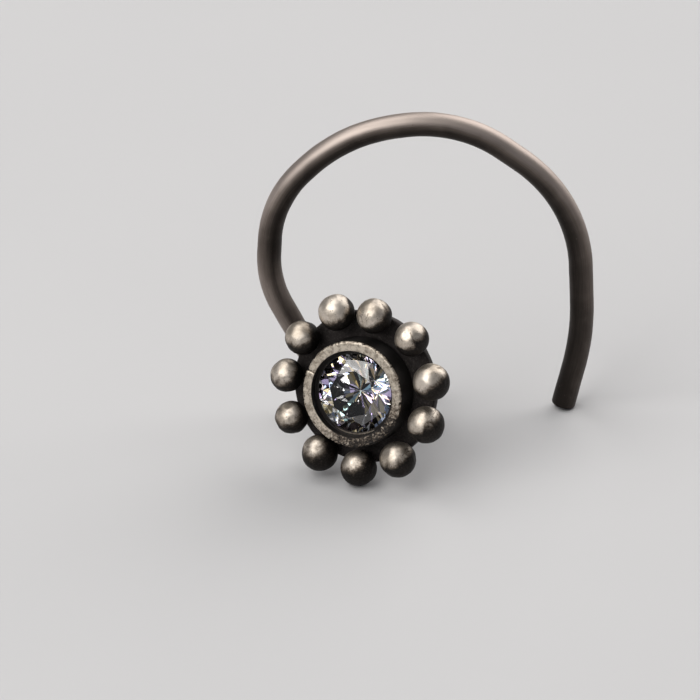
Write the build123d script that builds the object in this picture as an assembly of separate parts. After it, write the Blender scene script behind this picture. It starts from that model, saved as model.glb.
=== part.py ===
from build123d import *
from math import cos, radians, sin, tan
import os

# A flower-headed nose stud on a wire hoop, standing by itself: the lowest granule, the bottom of
# the hoop and the wire's free end touch the floor. Millimetres, +Z up, origin on the floor under
# the middle. The hoop stands in a plane of constant Y, and the head is in front of it, towards -Y.

# ---- driving dimensions ----------------------------------------------------------------------
# Stone: a round brilliant
STONE_DIAMETER = 2.75
TABLE_SHARE = 0.57  # width across the table's corners, as a share of the diameter
CROWN_ANGLE = 34.5  # of the eight kite facets
STAR_ANGLE = 21.0
UPPER_GIRDLE_ANGLE = 41.0
PAVILION_ANGLE = 40.75  # of the eight main facets under the girdle
LOWER_GIRDLE_ANGLE = 42.3
GIRDLE_THICKNESS = 0.06
CULET_FLAT = 0.03  # how much of the point is polished off

# Head: heights are measured from the plane through the granules' centres
BEZEL_OUTER = 3.5
BEZEL_OPENING = 2.83
RIM_HEIGHT = 0.50
RIM_ROUNDING = 0.07
LIP_OPENING = 2.57  # the inner lip that is pressed over the stone
LIP_HEIGHT = 0.22
STONE_SEAT_HEIGHT = 0.0  # underside of the girdle
STONE_GAP = 0.025  # between the girdle and its seat
BEZEL_SHIFT = -0.08  # the tube sits a little low on its plate
PLATE_RADIUS = 2.50
PLATE_FRONT = -0.48
PLATE_THICKNESS = 0.38
PLATE_ROUNDING = 0.12  # of the back edge
TUBE_SINK = 0.1  # how deep the bezel is set into the plate
SEAT_CLEARANCE = 0.12  # under the stone's point
SEAT_FLOOR = 0.04  # metal between the seat and the post

# Granules: an even ring laid by hand, so each ball is a little out of place
FIRST_GRANULE_ANGLE = 115.2  # counted from the head's +X, anticlockwise
GRANULES = [
    # turn_deg, ring_radius, ball_radius
    (-1.0, 2.58, 0.60),
    (1.5, 2.52, 0.58),
    (1.0, 2.60, 0.57),
    (0.0, 2.62, 0.61),
    (1.0, 2.59, 0.61),
    (-1.5, 2.60, 0.60),
    (-1.0, 2.58, 0.60),
    (-0.5, 2.58, 0.60),
    (-1.0, 2.60, 0.55),
    (0.5, 2.53, 0.55),
    (1.0, 2.50, 0.57),
]

# How the head stands: its centre, how far it is turned to the left, and how far it leans back
HEAD_CENTRE = (-2.25, -1.50, 3.06)
HEAD_TURN = 25.1
HEAD_LEAN = 15.7

# Wire: a straight post from the back of the plate, then the hoop in the plane y = HOOP_PLANE
WIRE_RADIUS = 0.4
HOOP_PLANE = 3.0
BOSS_RADIUS = 0.85  # solder that carries the post and closes the seat behind the plate
BOSS_TOP_RADIUS = 0.50
BOSS_HEIGHT = 0.62
POST_BEND_RADIUS = 0.95
HOOP_ROUTE = [
    # x, z, bend_radius (the last point is the free end)
    (-2.50, -0.60, 1.54),
    (-5.20, 4.70, 3.75),
    (-5.05, 7.65, 3.80),
    (-2.70, 10.05, 5.05),
    (1.00, 10.60, 4.35),
    (4.95, 7.65, 5.05),
    (5.15, 2.70, 9.00),
    (4.55, 0.10, None),
]

# ---- worked out from them --------------------------------------------------------------------
STONE_RADIUS = STONE_DIAMETER / 2
BEZEL_RADIUS = BEZEL_OUTER / 2
PLATE_BACK = PLATE_FRONT - PLATE_THICKNESS
GIRDLE_TOP = STONE_SEAT_HEIGHT + GIRDLE_THICKNESS
TABLE_RADIUS = STONE_RADIUS * TABLE_SHARE
TABLE_HEIGHT = GIRDLE_TOP + (STONE_RADIUS - TABLE_RADIUS) * tan(radians(CROWN_ANGLE))
CULET_HEIGHT = STONE_SEAT_HEIGHT - STONE_RADIUS * tan(radians(PAVILION_ANGLE)) + CULET_FLAT
SEAT_POINT = CULET_HEIGHT - SEAT_CLEARANCE

turn, lean = radians(HEAD_TURN), radians(HEAD_LEAN)
FRONT = Vector(-sin(turn) * cos(lean), -cos(turn) * cos(lean), sin(lean))
HEAD = Plane(origin=HEAD_CENTRE, x_dir=(cos(turn), -sin(turn), 0), z_dir=FRONT)


def facet(azimuth, steepness, radius, height):
    """The plane of one facet, outward side up, through the point at this azimuth, radius and height."""
    a, s = radians(azimuth), radians(steepness)
    normal = Vector(sin(s) * cos(a), sin(s) * sin(a), cos(s))
    return Plane(origin=(radius * cos(a), radius * sin(a), height), z_dir=normal)


def make_stone():
    """The brilliant: a round blank cut by a ring of planes for each kind of facet."""
    blank_height = TABLE_HEIGHT - CULET_HEIGHT
    blank = Pos(0, 0, CULET_HEIGHT) * Cylinder(
        STONE_RADIUS, blank_height, align=(Align.CENTER, Align.CENTER, Align.MIN)
    )
    table_edge = TABLE_RADIUS * cos(radians(22.5))
    down = 180  # steepness of a plane that faces straight down
    rings = [
        # count, first azimuth, steepness, radius, height
        (8, 0.0, CROWN_ANGLE, STONE_RADIUS, GIRDLE_TOP),
        (8, 22.5, STAR_ANGLE, table_edge, TABLE_HEIGHT),
        (16, 11.25, UPPER_GIRDLE_ANGLE, STONE_RADIUS, GIRDLE_TOP),
        (8, 0.0, down - PAVILION_ANGLE, STONE_RADIUS, STONE_SEAT_HEIGHT),
        (16, 11.25, down - LOWER_GIRDLE_ANGLE, STONE_RADIUS, STONE_SEAT_HEIGHT),
    ]
    for count, first, steepness, radius, height in rings:
        for k in range(count):
            plane = facet(first + k * 360 / count, steepness, radius, height)
            blank = split(blank, bisect_by=plane, keep=Keep.BOTTOM)
    return blank


def stone_hollow():
    """The space inside the bezel: the opening, the lip, the groove for the girdle and a conical seat."""
    groove = STONE_RADIUS + STONE_GAP
    lip = LIP_OPENING / 2
    rise, across = tan(radians(UPPER_GIRDLE_ANGLE)), cos(radians(11.25))
    crown_at_lip = GIRDLE_TOP + (STONE_RADIUS - lip * across) * rise
    girdle_peak = GIRDLE_TOP + (STONE_RADIUS - STONE_RADIUS * across) * rise
    outline = Polyline(
        (0, RIM_HEIGHT + 1),
        (BEZEL_OPENING / 2, RIM_HEIGHT + 1),
        (BEZEL_OPENING / 2, LIP_HEIGHT - 0.02),
        (lip, LIP_HEIGHT),
        (lip, crown_at_lip + STONE_GAP),
        (groove, girdle_peak + STONE_GAP),
        (groove, STONE_SEAT_HEIGHT - 0.05),
        (0, SEAT_POINT),
        close=True,
    )
    return revolve(Plane.XZ * make_face(outline), Axis.Z)


def make_head():
    """Plate, boss, bezel and granules, soldered together, in the head's own frame, front up."""
    plate = Pos(0, 0, PLATE_BACK) * Cylinder(
        PLATE_RADIUS, PLATE_THICKNESS, align=(Align.CENTER, Align.CENTER, Align.MIN)
    )
    plate = fillet(plate.edges().filter_by(GeomType.CIRCLE).sort_by(Axis.Z)[0], PLATE_ROUNDING)
    tube_height = RIM_HEIGHT - PLATE_FRONT + TUBE_SINK
    tube = Pos(0, 0, RIM_HEIGHT - tube_height) * Cylinder(
        BEZEL_RADIUS, tube_height, align=(Align.CENTER, Align.CENTER, Align.MIN)
    )
    tube = fillet(tube.edges().filter_by(GeomType.CIRCLE).sort_by(Axis.Z)[-1], RIM_ROUNDING)
    boss = Pos(0, 0, PLATE_BACK + 0.02) * Cone(
        BOSS_TOP_RADIUS, BOSS_RADIUS, BOSS_HEIGHT, align=(Align.CENTER, Align.CENTER, Align.MAX)
    )
    head = plate + boss + Pos(0, BEZEL_SHIFT, 0) * tube
    for k, (turned, ring_radius, ball_radius) in enumerate(GRANULES):
        angle = radians(FIRST_GRANULE_ANGLE - k * 360 / len(GRANULES) + turned)
        centre = (ring_radius * cos(angle), ring_radius * sin(angle), 0)
        seat = Plane(origin=centre, x_dir=(0, 0, 1), z_dir=(-sin(angle), cos(angle), 0))
        head += seat.location * Sphere(ball_radius)  # poles and seam clear of the plate
    return head - Pos(0, BEZEL_SHIFT, 0) * stone_hollow()


def make_wire():
    """Post and hoop: one round wire swept along straight runs joined by tangent arcs."""
    foot = HEAD.from_local_coords(Vector(0, 0, SEAT_POINT - SEAT_FLOOR))
    post_length = (HOOP_PLANE - foot.Y) / -FRONT.Y
    corner = foot - FRONT * post_length
    points = [foot, corner] + [Vector(x, HOOP_PLANE, z) for x, z, _ in HOOP_ROUTE]
    radii = [POST_BEND_RADIUS] + [radius for _, _, radius in HOOP_ROUTE[:-1]]
    path = FilletPolyline(*points, radius=radii)
    section = Plane(origin=path @ 0, z_dir=path % 0) * Circle(WIRE_RADIUS)
    wire = sweep(section, path=path)
    print(f"wire: length {path.length:.2f}, volume over section times length "
          f"{wire.volume / (path.length * section.area):.4f}")
    return wire


stone = HEAD.location * Pos(0, BEZEL_SHIFT, 0) * make_stone()
silver_pin = HEAD.location * make_head() + make_wire()

os.makedirs("parts", exist_ok=True)
for name, shape in {"stone": stone, "silver_pin": silver_pin}.items():
    shape.label = name
    export_step(shape, f"parts/{name}.step")
    box = shape.bounding_box()
    print(name, "solids", len(shape.solids()), "volume", round(shape.volume, 3), "box", box.min, box.max)
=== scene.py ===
"""A flower-headed nose stud: a round brilliant in a tube bezel, ringed by silver granules on an
oxidised back plate, on a post that bends into a wire hoop.

Shapes are worked out in millimetres and put into the row frame, in metres, as they are finished.
"""

import logging
import math
from abc import ABC, abstractmethod
from dataclasses import dataclass, field
from enum import Enum
from functools import cached_property
from typing import ClassVar, Protocol, Sequence

import bmesh
import bpy
import numpy as np
from bpy.types import Material, Mesh, Object
from mathutils import Matrix, Vector, noise


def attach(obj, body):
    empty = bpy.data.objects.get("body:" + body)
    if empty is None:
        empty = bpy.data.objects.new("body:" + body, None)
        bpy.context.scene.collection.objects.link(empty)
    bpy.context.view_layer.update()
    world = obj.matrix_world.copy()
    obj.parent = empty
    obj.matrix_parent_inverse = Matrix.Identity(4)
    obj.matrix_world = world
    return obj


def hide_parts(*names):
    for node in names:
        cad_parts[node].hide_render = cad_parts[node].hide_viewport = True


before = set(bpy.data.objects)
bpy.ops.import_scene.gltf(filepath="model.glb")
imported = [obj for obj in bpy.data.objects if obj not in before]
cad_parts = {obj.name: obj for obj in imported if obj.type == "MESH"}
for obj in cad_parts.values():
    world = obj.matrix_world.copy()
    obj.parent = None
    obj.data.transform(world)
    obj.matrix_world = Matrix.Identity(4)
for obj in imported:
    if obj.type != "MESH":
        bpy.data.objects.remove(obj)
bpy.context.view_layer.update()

LOG = logging.getLogger("nose_stud")
MM = 0.001
ROW = Matrix.Scale(MM, 4)  # takes millimetres to the row frame
SEED_STEP = 7.31  # how far the random lumps of two seeds lie apart
Colour = tuple[float, float, float, float]
Pair = tuple[float, float]
Triple = tuple[float, float, float]
Profile = list[Pair]
Face = tuple[int, ...]
Inputs = dict[int | str, object]  # of a node, by index or by name


class Slot(Enum):
    """The stud's material slots."""

    SILVER = "silver"
    STONE = "stone"


class Solid(Enum):
    """The solids of the frame that the pieces stand for."""

    SILVER_PIN = "silver_pin"
    STONE = "stone"


class Facet(Enum):
    """The kinds of facet on the brilliant, numbered as its material slots."""

    CLEAR = 0
    MIRRORED = 1


# ---- node trees ------------------------------------------------------------------------------
class Flow:
    """What flows out of a node: a number, a vector, a colour or a shape."""

    def __init__(self, graph: "Graph", socket: bpy.types.NodeSocket) -> None:
        """Keeps the tree and the socket."""
        self.graph, self.socket = graph, socket

    def step(self, operation: str, *others: object) -> "Flow":
        """One step of arithmetic, on numbers or on vectors."""
        kind = "ShaderNodeMath" if self.socket.type in ("VALUE", "INT") else "ShaderNodeVectorMath"
        return self.graph.get(kind, dict(enumerate((self, *others))), operation=operation)

    def __add__(self, other: object) -> "Flow":
        """The sum."""
        return self.step("ADD", other)

    def __sub__(self, other: object) -> "Flow":
        """The difference."""
        return self.step("SUBTRACT", other)

    def __mul__(self, other: object) -> "Flow":
        """The product of two numbers."""
        return self.step("MULTIPLY", other)

    def __truediv__(self, other: object) -> "Flow":
        """The quotient."""
        return self.step("DIVIDE", other)

    def __rsub__(self, whole: float) -> "Flow":
        """A plain number less this one."""
        return self.graph.get("ShaderNodeMath", {0: whole, 1: self}, operation="SUBTRACT")

    def __rtruediv__(self, whole: float) -> "Flow":
        """A plain number over this one."""
        return self.graph.get("ShaderNodeMath", {0: whole, 1: self}, operation="DIVIDE")

    def scaled(self, factor: object) -> "Flow":
        """This vector times a number."""
        ends = {0: self, "Scale": factor}
        return self.graph.get("ShaderNodeVectorMath", ends, operation="SCALE")

    def dot(self, other: object) -> "Flow":
        """The dot product with another vector."""
        ends = {0: self, 1: other}
        return self.graph.get("ShaderNodeVectorMath", ends, "Value", operation="DOT_PRODUCT")

    @property
    def parts(self) -> list["Flow"]:
        """The three numbers of this vector or colour."""
        node = self.graph.add("ShaderNodeSeparateXYZ", {0: self})
        return [Flow(self.graph, socket) for socket in node.outputs]

    def window(self, low: object, high: object) -> "Flow":
        """Rises smoothly from 0 at low to 1 at high, or falls where low is above high."""
        ends = {"Value": self, "From Min": low, "From Max": high}
        return self.graph.get("ShaderNodeMapRange", ends, interpolation_type="SMOOTHSTEP")

    def spread(self, low: object, high: object) -> "Flow":
        """Stretches 0 to 1 over low to high."""
        ends = {"Value": self, "To Min": low, "To Max": high}
        return self.graph.get("ShaderNodeMapRange", ends)

    def swing(self, reach: float) -> "Flow":
        """Stretches 0 to 1 over as much below 0 as above it."""
        return self.spread(-reach, reach)

    def blend(self, first: object, second: object) -> "Flow":
        """Mixes two colours, with this share of the second."""
        return self.graph.get("ShaderNodeMix", {0: self, 6: first, 7: second}, 2, data_type="RGBA")

    def grain(self, scale: object, *texture: float) -> "Flow":
        """Fractal noise, 0 to 1: scale lumps to a unit, then its detail, roughness and warp."""
        names = ("Vector", "Scale", "Detail", "Roughness", "Distortion")
        return self.graph.get("ShaderNodeTexNoise", dict(zip(names, (self, scale, *texture))))

    def stirred(self, scale: float, reach: float) -> "Flow":
        """This place moved about by noise, so that a pattern read there has no straight lines."""
        swirl = {"Vector": self, "Scale": scale, "Detail": 2.0}
        return self + self.graph.get("ShaderNodeTexNoise", swirl, 1).scaled(reach)

    def cells(self, scale: object, *names: str, **options: object) -> list["Flow"]:
        """The named outputs of a pattern of cells, scale of them to a unit of length."""
        node = self.graph.add("ShaderNodeTexVoronoi", {"Vector": self, "Scale": scale}, **options)
        return [Flow(self.graph, node.outputs[name]) for name in names]


class Graph:
    """A shader or geometry node tree that is being wired up."""

    def __init__(self, tree: bpy.types.NodeTree) -> None:
        """Keeps the tree to build in."""
        self.tree = tree

    def feed(self, socket: bpy.types.NodeSocket, value: object) -> None:
        """Links another node's output to this socket, or sets its plain value.

        Args:
            socket: The input to feed.
            value: A flow, number, vector, colour or material.
        """
        if isinstance(value, Flow):
            self.tree.links.new(value.socket, socket)
        else:
            socket.default_value = value

    def add(self, kind: str, inputs: Inputs | None = None, **options: object) -> bpy.types.Node:
        """Adds one node.

        Args:
            kind: The node's class name.
            inputs: Values or flows for its inputs.
            options: The node's own settings.

        Returns:
            The new node.
        """
        node = self.tree.nodes.new(kind)
        for name, value in options.items():
            setattr(node, name, value)
        for key, value in (inputs or {}).items():
            self.feed(node.inputs[key], value)
        return node

    def get(
        self, kind: str, inputs: Inputs | None = None, output: int | str = 0, **options: object
    ) -> Flow:
        """Adds one node and reads one of its outputs."""
        return Flow(self, self.add(kind, inputs, **options).outputs[output])

    def point(self, *places: object) -> Flow:
        """The vector of three numbers."""
        return self.get("ShaderNodeCombineXYZ", dict(enumerate(places)))


class Surface(Graph):
    """The tree of a new material, which ends in its one shader."""

    def __init__(self, name: str) -> None:
        """Starts the material.

        Args:
            name: The material's name.
        """
        self.material = bpy.data.materials.new(name)
        self.material.use_nodes = True
        super().__init__(self.material.node_tree)

    @cached_property
    def place(self) -> Flow:
        """Where a point of the piece is, in millimetres."""
        return self.get("ShaderNodeTexCoord", output="Object").scaled(1.0 / MM)

    def read(self, name: str) -> Flow:
        """The number that the mesh keeps under a name."""
        return self.get("ShaderNodeAttribute", output="Fac", attribute_name=name)

    def raised(self, height: Flow, strength: float, depth: float) -> Flow:
        """The normal of a surface raised by height, for a depth in millimetres."""
        ends = {"Height": height, "Strength": strength, "Distance": depth * MM}
        return self.get("ShaderNodeBump", ends)

    def shaded(self, inputs: Inputs) -> Material:
        """Feeds the shader.

        Args:
            inputs: Values or flows for its inputs.

        Returns:
            The finished material.
        """
        shader = self.tree.nodes["Principled BSDF"]
        for name, value in inputs.items():
            self.feed(shader.inputs[name], value)
        return self.material


class Recipe(Graph):
    """A Geometry Nodes tree with named inputs, run once over a mesh of points or edges."""

    def __init__(self, name: str) -> None:
        """Starts an empty tree that takes in and gives out geometry.

        Args:
            name: The tree's name.
        """
        super().__init__(bpy.data.node_groups.new(name, "GeometryNodeTree"))
        self.values: dict[str, object] = {}
        self.source = self.add("NodeGroupInput")
        for way in ("INPUT", "OUTPUT"):
            kind = "NodeSocketGeometry"
            self.tree.interface.new_socket("Geometry", in_out=way, socket_type=kind)

    @property
    def geometry(self) -> Flow:
        """What the tree is run over."""
        return Flow(self, self.source.outputs["Geometry"])

    @property
    def here(self) -> Flow:
        """The place of each point."""
        return self.get("GeometryNodeInputPosition")

    def input(self, name: str, kind: str, value: object) -> Flow:
        """Adds a named input.

        Args:
            name: The input's name.
            kind: Float, Int, Vector or Material.
            value: What the modifier sets it to.

        Returns:
            What flows in by it.
        """
        kind = f"NodeSocket{kind}"
        made = self.tree.interface.new_socket(name, in_out="INPUT", socket_type=kind)
        self.values[made.identifier] = value
        return Flow(self, self.source.outputs[name])

    def sizes(self, kind: str, piece: "Piece", *names: str) -> list[Flow]:
        """Adds an input for each of these sizes of a piece, under the size's own name."""
        titles = {name: name.replace("_", " ").title() for name in names}
        return [self.input(titles[name], kind, getattr(piece, name)) for name in names]

    def stored(self, name: str, kind: str = "FLOAT") -> Flow:
        """Reads a named attribute of the geometry."""
        return self.get("GeometryNodeInputNamedAttribute", {"Name": name}, data_type=kind)

    def store(self, geometry: Flow, name: str, value: Flow, kind: str = "FLOAT") -> Flow:
        """Keeps a field on the geometry's points under a name."""
        ends = {"Geometry": geometry, "Name": name, "Value": value}
        return self.get("GeometryNodeStoreNamedAttribute", ends, data_type=kind)

    def moved(self, geometry: Flow, offset: Flow) -> Flow:
        """The geometry with its points moved by a field."""
        return self.get("GeometryNodeSetPosition", {"Geometry": geometry, "Offset": offset})

    def real(self, geometry: Flow) -> Flow:
        """The geometry with its instances made real."""
        return self.get("GeometryNodeRealizeInstances", {"Geometry": geometry})

    def end(self, geometry: Flow, material: Material) -> None:
        """Ends the tree: smooth shading, real geometry in place of instances, and the finish.

        Args:
            geometry: The finished shape.
            material: What it is made of, which becomes the input Finish.
        """
        smoothed = self.real(self.get("GeometryNodeSetShadeSmooth", {"Geometry": geometry}))
        dress = {"Geometry": smoothed, "Material": self.input("Finish", "Material", material)}
        self.add("NodeGroupOutput", {"Geometry": self.get("GeometryNodeSetMaterial", dress)})

    def run(self, mesh: Mesh) -> Mesh:
        """Runs the tree over a mesh.

        Args:
            mesh: The points or edges that the tree reads.

        Returns:
            The result as a plain mesh.
        """
        holder = placed(self.tree.name, mesh)
        modifier = holder.modifiers.new(self.tree.name, "NODES")
        modifier.node_group = self.tree
        for identifier, value in self.values.items():
            modifier[identifier] = value
        return taken_off(holder)


# ---- meshes ----------------------------------------------------------------------------------
def placed(name: str, data: bpy.types.ID) -> Object:
    """Adds an object to the scene.

    Args:
        name: The object's name.
        data: Its mesh, light or camera.

    Returns:
        The object.
    """
    holder = bpy.data.objects.new(name, data)
    bpy.context.scene.collection.objects.link(holder)
    return holder


def taken_off(holder: Object) -> Mesh:
    """Applies an object's modifiers and takes the object away.

    Args:
        holder: The object whose shape is wanted.

    Returns:
        The result as a plain mesh.
    """
    depsgraph = bpy.context.evaluated_depsgraph_get()
    mesh = bpy.data.meshes.new_from_object(
        holder.evaluated_get(depsgraph), preserve_all_data_layers=True, depsgraph=depsgraph
    )
    holder.modifiers.clear()
    bpy.data.objects.remove(holder)
    return mesh


def mesh_of(name: str, points: np.ndarray, faces: list[Face]) -> Mesh:
    """A smooth-shaded mesh with its doubles merged and its faces pointing outwards.

    Args:
        name: The mesh's name.
        points: Places of the vertices, one row each.
        faces: Vertex numbers of each face.

    Returns:
        The mesh.
    """
    mesh = bpy.data.meshes.new(name)
    mesh.from_pydata(points.tolist(), [], faces)
    shell = bmesh.new()
    shell.from_mesh(mesh)
    merge(shell)
    shell.to_mesh(mesh)
    shell.free()
    mesh.shade_smooth()
    return mesh


def merge(shell: bmesh.types.BMesh, apart: float = 1e-5) -> None:
    """Merges a shell's doubles and turns its faces outwards."""
    bmesh.ops.remove_doubles(shell, verts=shell.verts, dist=apart)
    bmesh.ops.recalc_face_normals(shell, faces=shell.faces)


def keep_on_points(mesh: Mesh, name: str, values: Sequence[float]) -> None:
    """Stores one number for each vertex of the mesh under a name."""
    layer = mesh.attributes.new(name, "FLOAT", "POINT")
    layer.data.foreach_set("value", np.ascontiguousarray(values, dtype=np.float32))


def lumps(points: np.ndarray, size: float, seed: float, octaves: int = 3) -> np.ndarray:
    """A random number from about -1 to 1 for each point, alike within a lump of this size."""
    shifted = points / size + seed * SEED_STEP
    return np.array([noise.fractal(Vector(p), 1.0, 2.0, octaves) for p in shifted])


def smooth(value: np.ndarray, low: float, high: float) -> np.ndarray:
    """Rises smoothly from 0 at low to 1 at high."""
    share = np.clip((value - low) / (high - low), 0.0, 1.0)
    return share * share * (3.0 - 2.0 * share)


def past(angle: np.ndarray, mark: float) -> np.ndarray:
    """How many degrees, from -180 to 180, angles in radians lie past a mark in degrees."""
    return (np.degrees(angle) - mark + 180) % 360 - 180


def beside(angle: np.ndarray, mark: float, near: float, far: float) -> np.ndarray:
    """1 within near degrees of a mark, and falling smoothly to 0 at far."""
    return 1 - smooth(np.abs(past(angle, mark)), near, far)


def polar(angle: float, radius: float, height: float = 0.0) -> Vector:
    """The point at an angle in degrees, a radius and a height."""
    turn = math.radians(angle)
    return Vector((radius * math.cos(turn), radius * math.sin(turn), height))


def arc(centre: Pair, radius: float, start: float, end: float, steps: int) -> Profile:
    """Points on an arc of a profile, with its angles in degrees from outwards towards up."""
    angles = [math.radians(start + (end - start) * k / steps) for k in range(steps + 1)]
    return [(centre[0] + radius * math.cos(a), centre[1] + radius * math.sin(a)) for a in angles]


def refined(profile: Profile, step: float) -> Profile:
    """Divides the long runs of a profile.

    Args:
        profile: The corners.
        step: About how long a side may be.

    Returns:
        The corners with the points between them.
    """
    points = [profile[0]]
    for (r0, z0), (r1, z1) in zip(profile, profile[1:]):
        count = max(1, round(math.hypot(r1 - r0, z1 - z0) / step))
        for k in range(1, count + 1):
            points.append((r0 + (r1 - r0) * k / count, z0 + (z1 - z0) * k / count))
    return points


def revolved(profile: Profile, sides: int) -> tuple[np.ndarray, list[Face]]:
    """A closed surface of revolution.

    Args:
        profile: Radius and height, from the axis round the outside and back to the axis.
        sides: How many points stand round each ring.

    Returns:
        Radius, angle and height of each vertex, and the faces.
    """
    rings = profile[1:-1]
    rows = [(0.0, 0.0, profile[0][1])]
    rows += [(r, math.tau * k / sides, z) for r, z in rings for k in range(sides)]
    rows.append((0.0, 0.0, profile[-1][1]))
    last, top = len(rows) - 1, 1 + (len(rings) - 1) * sides
    faces: list[Face] = []
    for k in range(sides):
        after = (k + 1) % sides
        faces.append((0, 1 + after, 1 + k))
        faces.append((last, top + k, top + after))
        for ring in range(len(rings) - 1):
            low = 1 + ring * sides
            faces.append((low + k, low + after, low + sides + after, low + sides + k))
    return np.array(rows), faces


def to_points(rows: np.ndarray) -> np.ndarray:
    """Turns radius, angle and height into x, y and z."""
    radius, angle, height = rows.T
    return np.stack([radius * np.cos(angle), radius * np.sin(angle), height], 1)


# ---- pieces ----------------------------------------------------------------------------------
@dataclass(frozen=True)
class HeadPose:
    """Where the flower head stands in the row frame: millimetres and degrees."""

    centre: Triple = (-2.25, -1.50, 3.06)
    turn: float = 25.1
    lean: float = 15.7

    def matrix(self) -> Matrix:
        """Works out the place of the head.

        Returns:
            What takes millimetres, with the head's front up, to metres in the row frame.
        """
        turn, lean = math.radians(self.turn), math.radians(self.lean)
        across = Vector((math.cos(turn), -math.sin(turn), 0.0))
        level = math.cos(lean)
        front = Vector((-math.sin(turn) * level, -math.cos(turn) * level, math.sin(lean)))
        axes = Matrix((across, front.cross(across), front)).transposed().to_4x4()
        return ROW @ Matrix.Translation(self.centre) @ axes


class Finish(Protocol):
    """What a piece is dressed with."""

    def material(self) -> Material:
        """Builds the material."""


@dataclass
class Piece(ABC):
    """A piece of the stud, worked out in millimetres: in the head's own frame, front up."""

    pose: HeadPose
    finish: Finish
    name: ClassVar[str]
    slot: ClassVar[Slot] = Slot.SILVER
    solid: ClassVar[Solid] = Solid.SILVER_PIN

    @abstractmethod
    def mesh(self) -> Mesh:
        """Makes the piece's shape, in millimetres."""

    def dress(self, mesh: Mesh) -> None:
        """Gives the mesh its finish, unless its tree has done so."""
        if not mesh.materials:
            mesh.materials.append(self.finish.material())

    def place(self) -> Matrix:
        """Takes the mesh to the row frame."""
        return self.pose.matrix()

    def build(self) -> Object:
        """Makes the piece, dresses it and ties it to the row.

        Returns:
            The piece, with its place in its mesh.
        """
        mesh = self.mesh()
        self.dress(mesh)
        mesh.transform(self.place())
        mesh.name = self.name
        piece = placed(self.name, mesh)
        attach(piece, "root")
        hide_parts(self.solid.value)
        return piece


# ---- finishes --------------------------------------------------------------------------------
@dataclass(frozen=True)
class OxidisedSilver:
    """Blackened silver, bright where the attribute read below is high, which holds real rubbing
    and, on the rim and the granules, painted light and shade. Sizes in millimetres.
    """

    name: str
    bright: Colour = (0.76, 0.685, 0.60, 1.0)
    bright_shade: Colour = (0.52, 0.45, 0.37, 1.0)
    half_worn: Colour = (0.155, 0.125, 0.10, 1.0)
    oxide: Colour = (0.016, 0.0135, 0.012, 1.0)
    oxide_shade: Colour = (0.045, 0.038, 0.034, 1.0)
    worn_at: float = 0.5
    edge: float = 0.30
    half_worn_at: float = 0.55
    bright_from: float = 0.30
    ragged: float = 0.11
    patch_size: float = 0.42
    speck_size: float = 0.055
    smear_size: float = 0.22
    tone_size: float = 0.9
    speckle: float = 0.22
    bright_tones: Pair = (0.32, 0.62)
    oxide_tones: Pair = (0.45, 0.8)
    pit_size: float = 0.075
    pit_share: float = 0.30
    pit_drift: float = 0.45
    crease_share: float = 0.0
    crease_spacing: float = 0.62
    crease_drift: float = 0.6
    crease_shift: Triple = (3.7, 1.9, 5.3)
    crease_strength: float = 0.42
    bright_roughness: Pair = (0.36, 0.50)
    oxide_roughness: float = 0.58
    oxide_metal: float = 0.85
    relief: float = 0.008

    def material(self) -> Material:
        """Builds the material.

        Returns:
            The material, which reads wear.
        """
        surface = Surface(self.name)
        place = surface.place
        patches = place.grain(1.0 / self.patch_size, 5.0, 0.62, 0.6)
        specks = place.grain(1.0 / self.speck_size, 3.0, 0.6)
        smear = place.grain(1.0 / self.smear_size, 4.0, 0.6)
        tone = place.grain(1.0 / self.tone_size, 4.0, 0.55, 0.3)
        uneven = patches.swing(2.0 * self.ragged) + specks.swing(0.5 * self.ragged)
        # the attribute read here holds real rubbing and, on the rim, the granules and the wire,
        # painted light and shade
        reached = surface.read("wear_and_lighting") + uneven
        worn = reached.window(self.worn_at - self.edge, self.worn_at + self.edge)
        pits = self._pits(place).step("MAXIMUM", self._creases(place))
        rubbed_and_lit = worn * (1.0 - pits)
        tone = (tone + specks.swing(self.speckle)).window(*self.bright_tones)
        dark = specks.window(*self.oxide_tones).blend(self.oxide, self.oxide_shade)
        halfway = rubbed_and_lit.window(0.0, self.half_worn_at).blend(dark, self.half_worn)
        bright = tone.blend(self.bright_shade, self.bright)
        rough = {0: rubbed_and_lit, 2: self.oxide_roughness, 3: smear.spread(*self.bright_roughness)}
        height = specks * 0.6 - pits * 0.8 + smear * 0.5
        return surface.shaded({
            "Base Color": rubbed_and_lit.window(self.bright_from, 1.0).blend(halfway, bright),
            "Metallic": rubbed_and_lit.spread(self.oxide_metal, 1.0),
            "Roughness": surface.get("ShaderNodeMix", rough),
            "Normal": surface.raised(height, 0.8, self.relief),
        })

    def _pits(self, place: Flow) -> Flow:
        """Draws small uneven pits that come in drifts.

        Args:
            place: Where a point is, in millimetres.

        Returns:
            1 in a pit and 0 between them.
        """
        size, common = self.pit_size, self.pit_share
        near, dice = place.stirred(0.8 / size, 1.3 * size).cells(1.0 / size, "Distance", "Color")
        there, width, strength = dice.parts
        hole = (near / width.spread(0.12, 0.40)).window(1.0, 0.3)
        drift = place.grain(1.0 / self.pit_drift, 2.0).window(0.72 - common, 0.90 - common)
        return hole * drift * (there.window(0.55, 0.75) * strength.spread(0.3, 0.9))

    def _creases(self, place: Flow) -> Flow:
        """Draws thin winding creases that come and go.

        Args:
            place: Where a point is, in millimetres.

        Returns:
            The creases' strength in a crease and 0 away from it.
        """
        away = (place.grain(1.0 / self.crease_spacing, 2.0, 0.5, 0.9) - 0.5).step("ABSOLUTE")
        drift = (place + self.crease_shift).grain(1.0 / self.crease_drift, 1.0)
        common = 0.3 * self.crease_share
        there = drift.window(0.72 - common, 0.78 - common)
        return away.window(0.030, 0.002) * there * self.crease_strength


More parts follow.
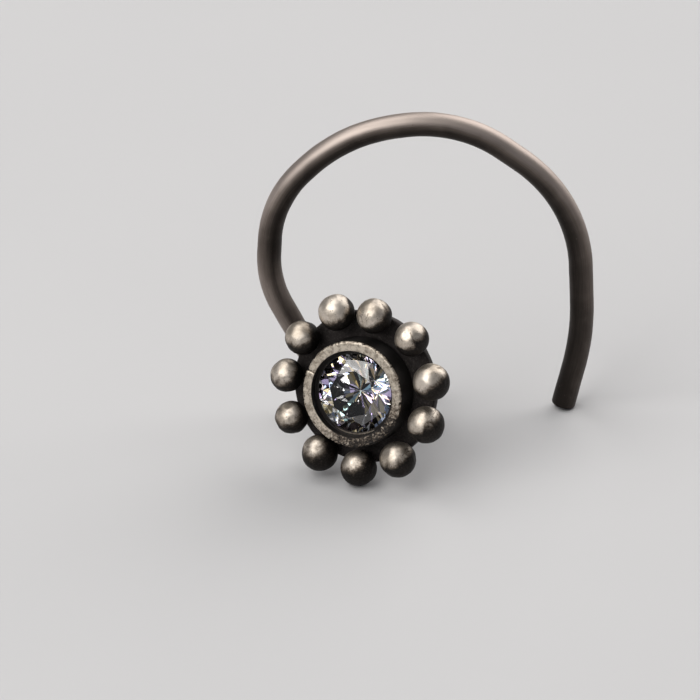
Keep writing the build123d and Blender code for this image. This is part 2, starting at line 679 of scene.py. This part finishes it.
@dataclass(frozen=True)
class DrawnSilver:
    """Satin silver wire, dark where it isn't worn and where shade is painted, with fine lines along
    it. Millimetres.
    """

    name: str
    light: Colour = (0.50, 0.43, 0.39, 1.0)
    toned: Colour = (0.155, 0.128, 0.112, 1.0)
    dark: Colour = (0.032, 0.027, 0.024, 1.0)
    patch_size: float = 1.4
    speck_size: float = 0.07
    line_count: float = 9.0
    line_stretch: float = 0.10
    roughness: Pair = (0.42, 0.56)
    relief: float = 0.004

    def material(self) -> Material:
        """Builds the material.

        Returns:
            The material, which reads run, the way along the wire, around it, and wear.
        """
        surface = Surface(self.name)
        place = surface.place
        along, turn = surface.read("run") * self.line_stretch, surface.read("around") * math.tau
        skin = surface.point(along, turn.step("COSINE"), turn.step("SINE"))
        lines = skin.grain(self.line_count, 4.0, 0.6)
        broad = place.grain(1.0 / self.patch_size, 4.0, 0.55, 0.4)
        specks = place.grain(1.0 / self.speck_size, 3.0, 0.65)
        rubbed_and_lit = surface.read("wear_and_lighting") + (broad.swing(0.16) + lines.swing(0.10))
        colour = rubbed_and_lit.window(0.0, 0.45).blend(self.dark, self.toned)
        colour = rubbed_and_lit.window(0.30, 0.80).blend(colour, self.light)
        spots = (specks + broad.swing(-0.12)).window(0.68, 0.76)
        return surface.shaded({
            "Base Color": spots.blend(colour, self.toned),
            "Metallic": 1.0,
            "Roughness": (lines + spots).spread(*self.roughness),
            "Normal": surface.raised(lines * 0.7 + specks * 0.4, 0.6, self.relief),
        })


@dataclass(frozen=True)
class ClearCrown:
    """The clear facets that light enters the stone by."""

    name: str = "clear_crown"
    colour: Colour = (1.0, 1.0, 1.0, 1.0)
    bend: float = 2.16

    def material(self) -> Material:
        """Builds the material."""
        glass = {"Transmission Weight": 1.0, "IOR": self.bend, "Roughness": 0.0}
        return Surface(self.name).shaded({"Base Color": self.colour} | glass)


@dataclass(frozen=True)
class MirroredPavilion:
    """The facets that throw the light back, in slivers with their own tilt and a painted tint of
    dark reflections and coloured fire.
    """

    name: str = "mirrored_pavilion"
    slivers_round: float = 9.0
    slivers_across: float = 1.8
    pattern: float = 192.1  # picks one of the random patterns
    tilt: float = 0.21
    roughness: float = 0.02
    painted_throws: tuple[tuple[float, Colour], ...] = (
        # where the tint starts on a scale of 0 to 1, and the tint: painted reflections, dark and
        # grey ones for a dark surround, white ones, and coloured fire
        (0.00, (0.035, 0.025, 0.026, 1.0)),
        (0.18, (0.42, 0.37, 0.38, 1.0)),
        (0.28, (0.93, 0.93, 0.94, 1.0)),
        (0.76, (0.88, 0.76, 0.48, 1.0)),
        (0.83, (0.62, 0.74, 1.00, 1.0)),
        (0.89, (0.72, 0.62, 0.98, 1.0)),
        (0.96, (0.66, 0.94, 0.92, 1.0)),
    )

    def material(self) -> Material:
        """Builds the material.

        Returns:
            The material, which reads the uv map plan, the stone seen from above.
        """
        surface = Surface(self.name)
        plan = surface.get("ShaderNodeUVMap", uv_map="plan")
        x, y, _ = plan.parts
        turn = 2.0 / math.tau * self.slivers_round
        reach = surface.get("ShaderNodeVectorMath", {0: plan}, "Value", operation="LENGTH")
        spin, reach = y.step("ARCTAN2", x) * turn, reach * self.slivers_across
        (sliver,) = surface.point(spin, reach, self.pattern).cells(1.0, "Color")
        ramp = surface.add("ShaderNodeValToRGB", {0: sliver.parts[0]})
        ramp.color_ramp.interpolation = "CONSTANT"
        stops = ramp.color_ramp.elements
        while len(stops) < len(self.painted_throws):
            stops.new(0.5)
        for stop, (start, tint) in zip(stops, self.painted_throws):
            stop.position, stop.color = start, tint
        straight = surface.get("ShaderNodeNewGeometry", output="Normal")
        lean = (sliver - (0.5, 0.5, 0.5)).scaled(self.tilt)
        return surface.shaded({
            "Base Color": Flow(surface, ramp.outputs[0]),
            "Metallic": 1.0,
            "Roughness": self.roughness,
            "Normal": (straight + lean).step("NORMALIZE"),
        })


@dataclass(frozen=True)
class PaleCard:
    """The matt pale card that the stud stands on."""

    name: str = "pale_card"
    colour: Colour = (0.66, 0.66, 0.67, 1.0)
    shade: Colour = (0.63, 0.63, 0.64, 1.0)
    patches: float = 60.0  # to a metre
    roughness: float = 0.9
    gloss: float = 0.2

    def material(self) -> Material:
        """Builds the material.

        Returns:
            The material.
        """
        surface = Surface(self.name)
        patches = surface.get("ShaderNodeTexCoord", output="Object").grain(self.patches, 2.0)
        return surface.shaded({
            "Base Color": patches.blend(self.shade, self.colour),
            "Roughness": self.roughness,
            "Specular IOR Level": self.gloss,
        })


# ---- the stone -------------------------------------------------------------------------------
@dataclass
class Brilliant(Piece):
    """The round brilliant: heights are measured from the plane through the granules' centres."""

    name = "brilliant"
    slot = Slot.STONE
    solid = Solid.STONE
    finish: ClearCrown = ClearCrown()
    mirrored: MirroredPavilion = MirroredPavilion()
    diameter: float = 2.75
    table_share: float = 0.57
    crown_angle: float = 34.5
    star_angle: float = 21.0
    upper_girdle_angle: float = 41.0
    pavilion_angle: float = 40.75
    lower_girdle_angle: float = 42.3
    girdle_thickness: float = 0.06
    seat_height: float = 0.0
    culet_flat: float = 0.03
    shift: float = -0.08
    sides: int = 96
    mirrored_under: float = -0.3  # how much a mirrored facet's outward direction rises at most

    @property
    def radius(self) -> float:
        """The girdle's radius."""
        return self.diameter / 2

    @property
    def girdle_top(self) -> float:
        """Height of the girdle's upper edge."""
        return self.seat_height + self.girdle_thickness

    @property
    def table_height(self) -> float:
        """Height of the table."""
        rise = math.tan(math.radians(self.crown_angle))
        return self.girdle_top + self.radius * (1 - self.table_share) * rise

    @property
    def culet_height(self) -> float:
        """Height of the small flat at the point."""
        fall = math.tan(math.radians(self.pavilion_angle))
        return self.seat_height - self.radius * fall + self.culet_flat

    def cuts(self) -> list[tuple[Vector, Vector]]:
        """Lays out the sloping facets.

        Returns:
            A point and an outward direction for the plane of each facet.
        """
        radius, top, seat = self.radius, self.girdle_top, self.seat_height
        table_edge = radius * self.table_share * math.cos(math.radians(22.5))
        below = 180.0
        rings = (
            # how many facets, the first one's angle, their slope, and a radius and height on them
            (8, 0.0, self.crown_angle, radius, top),
            (8, 22.5, self.star_angle, table_edge, self.table_height),
            (16, 11.25, self.upper_girdle_angle, radius, top),
            (8, 0.0, below - self.pavilion_angle, radius, seat),
            (16, 11.25, below - self.lower_girdle_angle, radius, seat),
        )
        planes = []
        for count, first, steepness, reach, height in rings:
            slope = math.radians(steepness)
            for angle in (first + k * 360.0 / count for k in range(count)):
                out = polar(angle, math.sin(slope), math.cos(slope))
                planes.append((polar(angle, reach, height), out))
        return planes

    def mesh(self) -> Mesh:
        """Grinds the facets one by one off a round blank.

        Returns:
            The stone.
        """
        blank = bmesh.new()
        depth = self.table_height - self.culet_height
        ends = {"radius1": self.radius, "radius2": self.radius, "depth": depth}
        bmesh.ops.create_cone(blank, cap_ends=True, segments=self.sides, **ends)
        middle = (self.table_height + self.culet_height) / 2
        bmesh.ops.translate(blank, verts=blank.verts, vec=(0, 0, middle))
        for point, out in self.cuts():
            stone = blank.verts[:] + blank.edges[:] + blank.faces[:]
            plane = {"plane_co": point, "plane_no": out, "clear_outer": True}
            cut = bmesh.ops.bisect_plane(blank, geom=stone, dist=1e-6, **plane)
            rim = [edge for edge in cut["geom_cut"] if isinstance(edge, bmesh.types.BMEdge)]
            if len(rim) > 2:
                bmesh.ops.contextual_create(blank, geom=rim)
        merge(blank)
        bmesh.ops.translate(blank, verts=blank.verts, vec=(0, self.shift, 0))
        mesh = bpy.data.meshes.new(self.name)
        blank.to_mesh(mesh)
        blank.free()
        return mesh

    def dress(self, mesh: Mesh) -> None:
        """Sorts the facets by the side of the girdle that they are on, and lays the plan out flat.

        Args:
            mesh: The stone.
        """
        for finish in (self.finish, self.mirrored):
            mesh.materials.append(finish.material())
        for face in mesh.polygons:
            kind = Facet.MIRRORED if face.normal.z < self.mirrored_under else Facet.CLEAR
            face.material_index = kind.value
        plan = mesh.uv_layers.new(name="plan")
        for loop, corner in zip(mesh.loops, plan.data):
            x, y, _ = mesh.vertices[loop.vertex_index].co
            corner.uv = (x / self.radius, (y - self.shift) / self.radius)


# ---- the silver head -------------------------------------------------------------------------
@dataclass
class Bezel(Piece):
    """The tube that holds the stone, with its rim, its inner lip and the seat under the stone."""

    name = "bezel"
    finish: OxidisedSilver = OxidisedSilver(
        "rim_worn_and_lit",
        bright=(0.68, 0.61, 0.515, 1.0),
        bright_shade=(0.34, 0.29, 0.235, 1.0),
        oxide=(0.036, 0.033, 0.032, 1.0),
        edge=0.28,
        ragged=0.19,
        patch_size=0.14,
        pit_share=0.50,
        tone_size=0.16,
        speckle=0.30,
        relief=0.012,
    )
    outer: float = 1.75
    opening: float = 1.415
    rim_height: float = 0.50
    rounding: float = 0.07
    inner_rounding: float = 0.03
    lip: float = 1.285
    lip_height: float = 0.22
    groove: float = 1.40
    seat_edge: float = -0.05
    seat_point: float = -1.2747
    foot: float = -0.60
    foot_radius: float = 0.86
    shift: float = -0.08
    sides: int = 480
    grid: float = 0.035
    seam_angle: float = 163.0
    seam_width: float = 1.1  # degrees
    seam_depth: float = 0.035
    seam_bite: float = 0.03
    step_depth: float = 0.025
    step_length: float = 26.0  # degrees
    sway: float = 0.012
    sway_size: float = 0.9
    drawn_in: float = 0.010
    rough_middle: float = 301.0
    rough_reach: Pair = (38.4, 64.0)
    rough_depth: float = 0.045
    rough_bite: float = 0.02
    rough_size: float = 0.13
    nick_size: float = 0.085
    nick_depth: float = 0.030
    ground_size: float = 0.055
    lit_side_middle: float = 118.0
    lip_glint_middle: float = 278.0
    lip_glint_reach: Pair = (18.0, 44.0)
    rub_and_lighting: float = 0.54
    lit_side_gain: float = 0.32  # painted highlight: more than that on the side of the rim the light falls on
    wall_rub: float = 0.22
    lip_glint_strength: float = 0.95
    rough_dulling: float = 0.06
    ground_dulling: float = 0.20
    nick_dulling: float = 0.25
    seam_dulling: float = 0.4

    def profile(self) -> Profile:
        """Draws the tube's section.

        Returns:
            Its corners, from under the point of the seat round to the seat itself.
        """
        top, lip = self.rim_height, self.lip_height
        points = [(0.0, self.seat_point - 0.06), (self.foot_radius, self.foot)]
        points += [(self.outer - 0.05, self.foot), (self.outer, self.foot + 0.05)]
        points += arc((self.outer - self.rounding, top - self.rounding), self.rounding, 0, 90, 6)
        inner = (self.opening + self.inner_rounding, top - self.inner_rounding)
        points += arc(inner, self.inner_rounding, 90, 180, 4)
        points += [(self.opening, lip - 0.02), (self.lip, lip), (self.lip, lip - 0.035)]
        points += [(self.groove, lip - 0.112), (self.groove, self.seat_edge)]
        return points + [(0.0, self.seat_point)]

    def mesh(self) -> Mesh:
        """Revolves the tube and gives it its seam, its uneven edges and its rough side.

        Returns:
            The tube, with its worn places and its painted highlights.
        """
        rows, faces = revolved(refined(self.profile(), self.grid), self.sides)
        flat = to_points(rows)
        radius, angle, height = rows.T
        outer, top = self.outer, self.rim_height
        near_rim = smooth(height, top - 0.20, top - 0.02)
        upper = near_rim * smooth(radius, self.lip + 0.02, self.opening + 0.02)
        rough = beside(angle, self.rough_middle, *self.rough_reach)
        past_seam = past(angle, self.seam_angle)
        seam = np.exp(-((past_seam / self.seam_width) ** 2))
        step = np.where(past_seam < 0, 1.0, 0.0) * (1 - smooth(-past_seam, 0.0, self.step_length))
        slow = lumps(flat, self.sway_size, 1.0, 2)
        quick = lumps(flat, self.rough_size, 2.0, 3)
        height -= upper * (self.sway * np.abs(slow) + self.seam_depth * seam)
        height -= upper * rough * self.rough_depth * smooth(quick, 0.05, 0.55)
        radius += near_rim * smooth(radius, self.opening + 0.12, outer) * (
            -self.drawn_in + self.sway * slow - self.seam_bite * seam - self.step_depth * step
        )
        bite = near_rim * rough * self.rough_bite * smooth(quick, -0.1, 0.5)
        radius -= bite * smooth(radius, 1.6, outer)
        nicks = smooth(lumps(flat, self.nick_size, 9.0, 2), 0.05, 0.45)
        nicks *= smooth(radius, outer - 0.14, outer - 0.03)
        radius -= near_rim * self.nick_depth * nicks
        mesh = mesh_of(self.name, to_points(rows) + (0, self.shift, 0), faces)
        face = smooth(height, top - 0.10, top - 0.03)
        face *= smooth(radius, self.opening - 0.01, self.opening + 0.03)
        ground = smooth(lumps(flat, self.ground_size, 6.0, 2), -0.35, 0.45)
        # painted highlight: the rim face is made brighter towards the side the light falls on
        lit = 0.5 + 0.5 * np.cos(angle - math.radians(self.lit_side_middle))
        scuffed = rough * (self.rough_dulling + self.ground_dulling * ground)
        dulled = scuffed + self.nick_dulling * nicks + self.seam_dulling * seam
        wear_and_lighting = face * (self.rub_and_lighting + self.lit_side_gain * lit - dulled)
        wear_and_lighting += self.wall_rub * (1 - face) * smooth(height, 0.1, 0.45) * smooth(radius, 1.6, 1.74)
        ledge = smooth(radius, self.lip + 0.02, self.lip + 0.045)
        ledge *= 1 - smooth(radius, self.groove - 0.05, self.groove - 0.025)
        ledge *= smooth(height, self.lip_height - 0.025, self.lip_height - 0.01) * (1 - face)
        # painted glint: a thin bright line on the lip's ledge, at the lower right only
        lip_glint = beside(angle, self.lip_glint_middle, *self.lip_glint_reach)
        keep_on_points(mesh, "wear_and_lighting", wear_and_lighting + self.lip_glint_strength * ledge * lip_glint)
        return mesh


@dataclass
class GranuleRing(Piece):
    """The ring of granules, laid by hand, so that each one is a little out of place."""

    name = "granules"
    finish: OxidisedSilver = OxidisedSilver(
        "granules_worn_and_shaded", worn_at=0.385, edge=0.21, pit_share=0.40, crease_share=0.5
    )
    first_angle: float = 115.2
    laid: tuple[tuple[float, float, float, float], ...] = (
        # degrees out of place, distance from the middle, radius, and how much brighter it is made:
        # partly real wear, partly painted light and shade
        (-1.0, 2.58, 0.60, 0.13),
        (1.5, 2.52, 0.58, 0.22),
        (1.0, 2.60, 0.57, 0.25),
        (0.0, 2.62, 0.61, 0.26),
        (1.0, 2.59, 0.61, 0.20),
        (-1.5, 2.60, 0.60, 0.17),
        (-1.0, 2.58, 0.60, -0.04),
        (-0.5, 2.58, 0.60, -0.10),
        (-1.0, 2.60, 0.55, -0.03),
        (0.5, 2.53, 0.55, -0.01),
        (1.0, 2.50, 0.57, -0.02),
    )
    ball_detail: int = 5
    seed: int = 4
    seed_shift: Triple = (0.37, 0.19, 0.53)
    dent_depth: float = 0.018
    dent_size: float = 0.60
    fold_depth: float = 0.007
    fold_spacing: float = 1.15
    flat_depth: float = 0.030
    flat_spacing: float = 0.56
    fold_dulling: float = 0.14
    polish_and_light_direction: Triple = (-0.19, 0.43, 0.43)
    polish_and_light_lean: Triple = (-0.12, 0.09, -0.14)

    def places(self) -> list[tuple[Vector, float]]:
        """Lays out the ring.

        Returns:
            The centre and radius of each granule, in the head's own frame.
        """
        pitch = 360.0 / len(self.laid)
        return [
            (polar(self.first_angle - k * pitch + turned, distance), radius)
            for k, (turned, distance, radius, _) in enumerate(self.laid)
        ]

    def recipe(self) -> Recipe:
        """Wires up the tree that sets a worn ball on each point.

        Returns:
            The tree. It reads each point's ball_radius and rub: how much brighter the granule is
            made, partly for real wear and partly as painted light and shade.
        """
        recipe = Recipe("granule_ring")
        detail, seed = recipe.sizes("Int", self, "ball_detail", "seed")
        polish_and_light, lean = recipe.sizes("Vector", self, "polish_and_light_direction", "polish_and_light_lean")
        dent_depth, dent_size = recipe.sizes("Float", self, "dent_depth", "dent_size")
        fold_depth, fold_spacing = recipe.sizes("Float", self, "fold_depth", "fold_spacing")
        flat_depth, flat_spacing = recipe.sizes("Float", self, "flat_depth", "flat_spacing")

        seats = recipe.store(recipe.geometry, "seat", recipe.here, "FLOAT_VECTOR")
        ball = {"Radius": 1.0, "Subdivisions": detail}
        turn = {1: (math.tau, math.tau, math.tau), "Seed": seed}
        ends = {
            "Points": seats,
            "Instance": recipe.get("GeometryNodeMeshIcoSphere", ball),
            "Rotation": recipe.get("FunctionNodeRandomValue", turn, data_type="FLOAT_VECTOR"),
            "Scale": recipe.stored("ball_radius"),
        }
        balls = recipe.real(recipe.get("GeometryNodeInstanceOnPoints", ends))
        here, seat = recipe.here, recipe.stored("seat", "FLOAT_VECTOR")
        out = (here - seat).step("NORMALIZE")
        shift = {0: self.seed_shift, "Scale": seed}
        place = here + recipe.get("ShaderNodeVectorMath", shift, operation="SCALE")

        dent = place.grain(1.0 / dent_size, 3.0, 0.45).window(0.38, 0.72) * dent_depth
        (edge,) = place.stirred(3.0, 0.35).cells(
            1.0 / fold_spacing, "Distance", feature="DISTANCE_TO_EDGE"
        )
        fold = edge.window(0.11, 0.0) * place.grain(1.1, 1.0).window(0.45, 0.58)
        (spot,) = place.cells(1.0 / flat_spacing, "Distance")
        reach = spot * flat_spacing
        flat = (flat_depth - reach * reach * 0.86).step("SMOOTH_MAX", 0.0, 0.008)
        sunk = dent + fold * fold_depth + flat
        marked = recipe.store(balls, "out", out, "FLOAT_VECTOR")
        dented = recipe.moved(marked, out.scaled(sunk * -1.0))

        # painted light and shade on top of real wear: each granule is brightest on its front and on
        # the side towards the key light, and dark on the far side
        towards = polish_and_light + lean.scaled(seat.step("NORMALIZE").parts[0])
        rubbed_and_lit = recipe.stored("out", "FLOAT_VECTOR").dot(towards) + recipe.stored("rub_and_lighting")
        worn = recipe.store(dented, "wear_and_lighting", rubbed_and_lit - fold * self.fold_dulling)
        recipe.end(worn, self.finish.material())
        return recipe

    def mesh(self) -> Mesh:
        """Grows the granules on their seats.

        Returns:
            The granules, with their worn places, their painted light and shade, and their finish.
        """
        places = self.places()
        seats = bpy.data.meshes.new("granule_seats")
        seats.from_pydata([tuple(centre) for centre, _ in places], [], [])
        keep_on_points(seats, "ball_radius", [radius for _, radius in places])
        keep_on_points(seats, "rub_and_lighting", [rub_and_lighting for *_, rub_and_lighting in self.laid])
        return self.recipe().run(seats)


@dataclass
class BackPlate(Piece):
    """The blackened disc behind everything, with its boss and the solder between the pieces."""

    name = "back_plate"
    finish: OxidisedSilver = OxidisedSilver(
        "blackened_plate",
        oxide=(0.036, 0.031, 0.030, 1.0),
        oxide_shade=(0.085, 0.076, 0.072, 1.0),
        worn_at=0.72,
    )
    ring: GranuleRing = field(kw_only=True)
    radius: float = 2.50
    front: float = -0.48
    thickness: float = 0.38
    rounding: float = 0.12
    boss_radius: float = 0.85
    boss_top: float = 0.50
    boss_height: float = 0.60
    boss_rounding: float = 0.06
    well_radius: float = 1.60
    well_depth: float = 0.13
    well_point: float = -1.31
    sides: int = 160
    grid: float = 0.12
    under: float = 0.055  # how far the skin stays under the granules' surface
    sunk: float = 0.06  # and how much lower its balls are
    grain: float = 0.036
    easing: int = 7  # rounds of smoothing
    cast_size: float = 0.35
    cast_depth: float = 0.012
    shrink: float = 0.008
    rub_and_lighting: float = 0.10
    rim_rub: float = 0.28
    back_rub: float = 0.34

    def profile(self) -> Profile:
        """Draws the section, with a boss for the post and a well for the bezel's seat.

        Returns:
            Its corners, from the tip of the boss round to the bottom of the well.
        """
        front, back = self.front, self.front - self.thickness
        tip = back - self.boss_height
        bead, edge, well = self.boss_rounding, self.rounding, self.well_radius
        points = [(0.0, tip)]
        points += arc((self.boss_top - bead, tip + bead), bead, -90, -20, 4)
        points += [(self.boss_radius, back)]
        points += arc((self.radius - edge, back + edge), edge, -90, 0, 5)
        points += arc((self.radius - 0.05, front - 0.05), 0.05, 0, 90, 3)
        points += [(well, front), (well, front - self.well_depth)]
        return points + [(0.93, front - self.well_depth - 0.01), (0.0, self.well_point)]

    def mesh(self) -> Mesh:
        """Flows the disc and the feet of the granules into one skin.

        Returns:
            The skin, with its wear.
        """
        rows, faces = revolved(refined(self.profile(), self.grid), self.sides)
        skin = bmesh.new()
        skin.from_mesh(mesh_of("disc", to_points(rows), faces))
        for centre, radius in self.ring.places():
            seat = Matrix.Translation(centre - Vector((0, 0, self.sunk)))
            ball = {"radius": radius - self.under, "matrix": seat}
            bmesh.ops.create_icosphere(skin, subdivisions=4, **ball)
        shells = bpy.data.meshes.new("plate_shells")
        skin.to_mesh(shells)
        skin.free()
        holder = placed("plate_shells", shells)
        flowed = holder.modifiers.new("flow", "REMESH")
        flowed.mode, flowed.voxel_size = "VOXEL", self.grain
        eased = holder.modifiers.new("ease", "SMOOTH")
        eased.factor, eased.iterations = 0.5, self.easing
        mesh = taken_off(holder)
        points = np.array([vertex.co for vertex in mesh.vertices])
        normals = np.array([vertex.normal for vertex in mesh.vertices])
        cast = self.cast_depth * lumps(points, self.cast_size, 3.0, 3) - self.shrink
        moved = points + normals * cast[:, None]
        mesh.vertices.foreach_set("co", moved.astype(np.float32).ravel())
        mesh.update()
        across, height = np.linalg.norm(points[:, :2], axis=1), points[:, 2]
        rim = smooth(across, self.radius - 0.16, self.radius - 0.04) * smooth(height, -0.62, -0.5)
        back = 1 - smooth(height, -0.84, -0.76)
        keep_on_points(mesh, "wear_and_lighting", self.rub_and_lighting + self.rim_rub * rim + self.back_rub * back)
        mesh.shade_smooth()
        return mesh


# ---- the wire --------------------------------------------------------------------------------
@dataclass
class PostAndHoop(Piece):
    """One round wire: straight back from the plate, then bent round into the hoop."""

    name = "post_and_hoop"
    finish: DrawnSilver = DrawnSilver("satin_wire")
    wire_radius: float = 0.4
    plane: float = 3.0
    foot_height: float = -1.3147
    post_bend: float = 0.95
    route: tuple[Triple, ...] = (
        # x, z and the radius that the wire turns with there
        (-2.50, -0.60, 1.54),
        (-5.20, 4.70, 3.75),
        (-5.05, 7.65, 3.80),
        (-2.70, 10.05, 5.05),
        (1.00, 10.60, 4.35),
        (4.95, 7.65, 5.05),
        (5.15, 2.70, 9.00),
        (4.55, 0.10, 0.0),
    )
    tip: tuple[Pair, ...] = (
        # how far from the free end, and how much of its girth the wire still has there
        (0.055, 1.0),
        (0.03, 0.985),
        (0.012, 0.955),
        (0.0, 0.90),
    )
    spacing: float = 0.09
    sides: int = 40
    sway: float = 0.010
    sway_length: float = 1.3
    hoop_centre: Triple = (0.0, 3.0, 5.6)
    rub_and_lighting: Pair = (0.08, 1.15)  # of the underside and inside, in painted shade, and of the top and outside, worn and painted lit
    # painted shade: the wire is darker low down, under these heights, where it keeps this share of
    # its brightness
    top_light_heights: Pair = (4.0, 9.0)
    low_shade_share: float = 0.48
    # painted highlight: how much lighter a patch low on the wire's left side is made
    painted_low_highlight: float = 0.32

    def place(self) -> Matrix:
        """Takes the wire, which is drawn where it stands, to the row frame."""
        return ROW

    def corners(self) -> list[tuple[Vector, float]]:
        """Works out the wire's route.

        Returns:
            Where its straight runs would meet, and how wide it turns there.
        """
        matrix = ROW.inverted() @ self.pose.matrix()
        foot = matrix @ Vector((0, 0, self.foot_height))
        back = (matrix.to_3x3() @ Vector((0, 0, -1))).normalized()
        bend = foot + back * ((self.plane - foot.y) / back.y)
        hoop = [(Vector((x, self.plane, z)), turn) for x, z, turn in self.route]
        return [(foot, 0.0), (bend, self.post_bend)] + hoop

    def line(self) -> list[Vector]:
        """Rounds the corners.

        Returns:
            Points along the middle of the wire, close enough together for its bends.
        """
        corners = self.corners()
        points = [corners[0][0]]
        for (before, _), (corner, turn), (after, _) in zip(corners, corners[1:], corners[2:]):
            into, out = (corner - before).normalized(), (after - corner).normalized()
            angle = into.angle(out)
            start = corner - into * (turn * math.tan(angle / 2))
            side = (out - into * into.dot(out)).normalized()
            steps = max(3, math.ceil(turn * angle / self.spacing))
            self._run(points, start)
            for a in (angle * k / steps for k in range(1, steps + 1)):
                round_it = side * (turn * (1 - math.cos(a)))
                points.append(start + into * (turn * math.sin(a)) + round_it)
        self._run(points, corners[-1][0])
        return points

    def _run(self, points: list[Vector], end: Vector) -> None:
        """Adds a straight run of evenly spaced points.

        Args:
            points: The line so far.
            end: Where the run ends.
        """
        start = points[-1]
        count = max(1, round((end - start).length / self.spacing))
        points.extend(start.lerp(end, k / count) for k in range(1, count + 1))

    def recipe(self) -> Recipe:
        """Wires up the tree that draws the wire along the line.

        Returns:
            The tree. It reads each point's girth, as a share of the wire's.
        """
        recipe = Recipe("drawn_wire")
        radius, sway, length = recipe.sizes("Float", self, "wire_radius", "sway", "sway_length")
        (sides,) = recipe.sizes("Int", self, "sides")
        (middle,) = recipe.sizes("Vector", self, "hoop_centre")

        curve = recipe.get("GeometryNodeMeshToCurve", {"Mesh": recipe.geometry})
        along = recipe.add("GeometryNodeSplineParameter").outputs
        ring = {"Resolution": sides, "Radius": radius}
        circle = recipe.get("GeometryNodeCurvePrimitiveCircle", ring)
        ends = {
            "Curve": recipe.store(curve, "run", Flow(recipe, along["Length"])),
            "Profile Curve": recipe.store(circle, "around", Flow(recipe, along["Factor"])),
            "Scale": recipe.stored("girth"),
            "Fill Caps": True,
        }
        tube = recipe.get("GeometryNodeCurveToMesh", ends)
        here, normal = recipe.here, recipe.get("GeometryNodeInputNormal")
        depth = here.grain(1.0 / length, 3.0, 0.5).window(0.35, 0.7).spread(0.15, 1.0)
        offset = normal.scaled(depth * (sway * -1.0))

        # partly real wear on the outside of the hoop, partly painted light on faces turned up and
        # painted shade underneath and low down
        outward = (here - middle).step("NORMALIZE").dot(normal)
        facing_out_and_up = outward * 0.5 + normal.parts[2] * 0.5
        side, _, height = here.parts
        painted_top_light = height.window(*self.top_light_heights).spread(self.low_shade_share, 1.0)
        painted_low_highlight = height.window(6.4, 4.6) * side.window(0.0, -3.0)
        wear_and_lighting = facing_out_and_up.spread(*self.rub_and_lighting) * painted_top_light + painted_low_highlight * self.painted_low_highlight
        recipe.end(recipe.moved(recipe.store(tube, "wear_and_lighting", wear_and_lighting), offset), self.finish.material())
        return recipe

    def mesh(self) -> Mesh:
        """Draws the wire along its line, with its free end rounded a little.

        Returns:
            The wire, with its worn places, its painted light and shade, and its finish.
        """
        points = self.line()
        end = points.pop()
        back = (points[-1] - end).normalized()
        girth = [1.0] * len(points) + [share for _, share in self.tip]
        points += [end + back * gap for gap, _ in self.tip]
        line = bpy.data.meshes.new("wire_line")
        runs = [(k, k + 1) for k in range(len(points) - 1)]
        line.from_pydata([tuple(p) for p in points], runs, [])
        keep_on_points(line, "girth", girth)
        return self.recipe().run(line)


# ---- the studio ------------------------------------------------------------------------------
@dataclass(frozen=True)
class Softbox:
    """A square soft light that faces the stud. Sizes and places in metres."""

    name: str
    spot: Triple
    size: float
    power: float
    colour: Triple

    def build(self, target: Vector) -> None:
        """Hangs the light.

        Args:
            target: What it is turned to.
        """
        lamp = bpy.data.lights.new(self.name, "AREA")
        lamp.shape, lamp.size, lamp.energy = "SQUARE", self.size, self.power
        lamp.color = self.colour
        holder = placed(self.name, lamp)
        holder.location = self.spot
        towards = target - Vector(self.spot)
        holder.rotation_euler = towards.to_track_quat("-Z", "Y").to_euler()


@dataclass
class Studio:
    """The pale floor, the lights and the camera. Millimetres, and metres for the floor."""

    aim: Triple = (-2.507, -0.903, 4.183)
    distance: float = 200.0
    elevation: float = 28.0
    view_width: float = 22.58
    sensor: float = 36.0
    clip: Pair = (0.01, 10.0)  # metres
    floor_size: float = 3.0
    world_level: float = 0.16
    world_colour: Colour = (0.93, 0.95, 1.0, 1.0)
    lights: tuple[Softbox, ...] = (
        Softbox("key_softbox", (-0.235, -0.197, 0.285), 0.36, 1.11, (1.0, 0.98, 0.95)),
        Softbox("top_softbox", (-0.13, 0.10, 0.40), 0.24, 0.48, (1.0, 0.98, 0.95)),
        Softbox("back_softbox", (0.22, 0.27, 0.26), 0.44, 1.28, (1.0, 0.97, 0.94)),
    )
    card: PaleCard = PaleCard()

    def build(self) -> None:
        """Sets up everything that isn't part of the stud."""
        target = Vector(self.aim) * MM
        self._floor()
        self._world()
        for light in self.lights:
            light.build(target)
        self._camera(target)
        bpy.context.scene.view_settings.view_transform = "Standard"

    def _floor(self) -> None:
        """Lays a wide flat floor under the stud."""
        half = self.floor_size / 2
        corners = [(-half, -half, 0), (half, -half, 0), (half, half, 0), (-half, half, 0)]
        mesh = bpy.data.meshes.new("floor")
        mesh.from_pydata(corners, [], [(0, 1, 2, 3)])
        mesh.materials.append(self.card.material())
        placed("floor", mesh)

    def _world(self) -> None:
        """Makes an even pale surround."""
        world = bpy.data.worlds.new("studio")
        bpy.context.scene.world = world
        world.use_nodes = True
        surround = world.node_tree.nodes["Background"]
        surround.inputs["Color"].default_value = self.world_colour
        surround.inputs["Strength"].default_value = self.world_level

    def _camera(self, target: Vector) -> None:
        """Sets up a long lens that looks down on the front of the head.

        Args:
            target: The middle of the view.
        """
        camera = bpy.data.cameras.new("camera")
        camera.sensor_width = self.sensor
        camera.lens = self.sensor * self.distance / self.view_width
        camera.clip_start, camera.clip_end = self.clip
        tilt = math.radians(self.elevation)
        holder = placed("camera", camera)
        away = Vector((0, -math.cos(tilt), math.sin(tilt)))
        holder.location = target + away * (self.distance * MM)
        holder.rotation_euler = (math.pi / 2 - tilt, 0.0, 0.0)
        bpy.context.scene.camera = holder


def main() -> None:
    """Builds the studio and the stud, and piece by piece."""
    logging.basicConfig(level=logging.INFO, format="%(message)s")
    Studio().build()
    pose = HeadPose()
    ring = GranuleRing(pose)
    for part in (Brilliant(pose), Bezel(pose), BackPlate(pose, ring=ring), ring, PostAndHoop(pose)):
        piece = part.build()
        LOG.info("%s: %d faces", piece.name, len(piece.data.polygons))


if __name__ == "__main__":
    main()
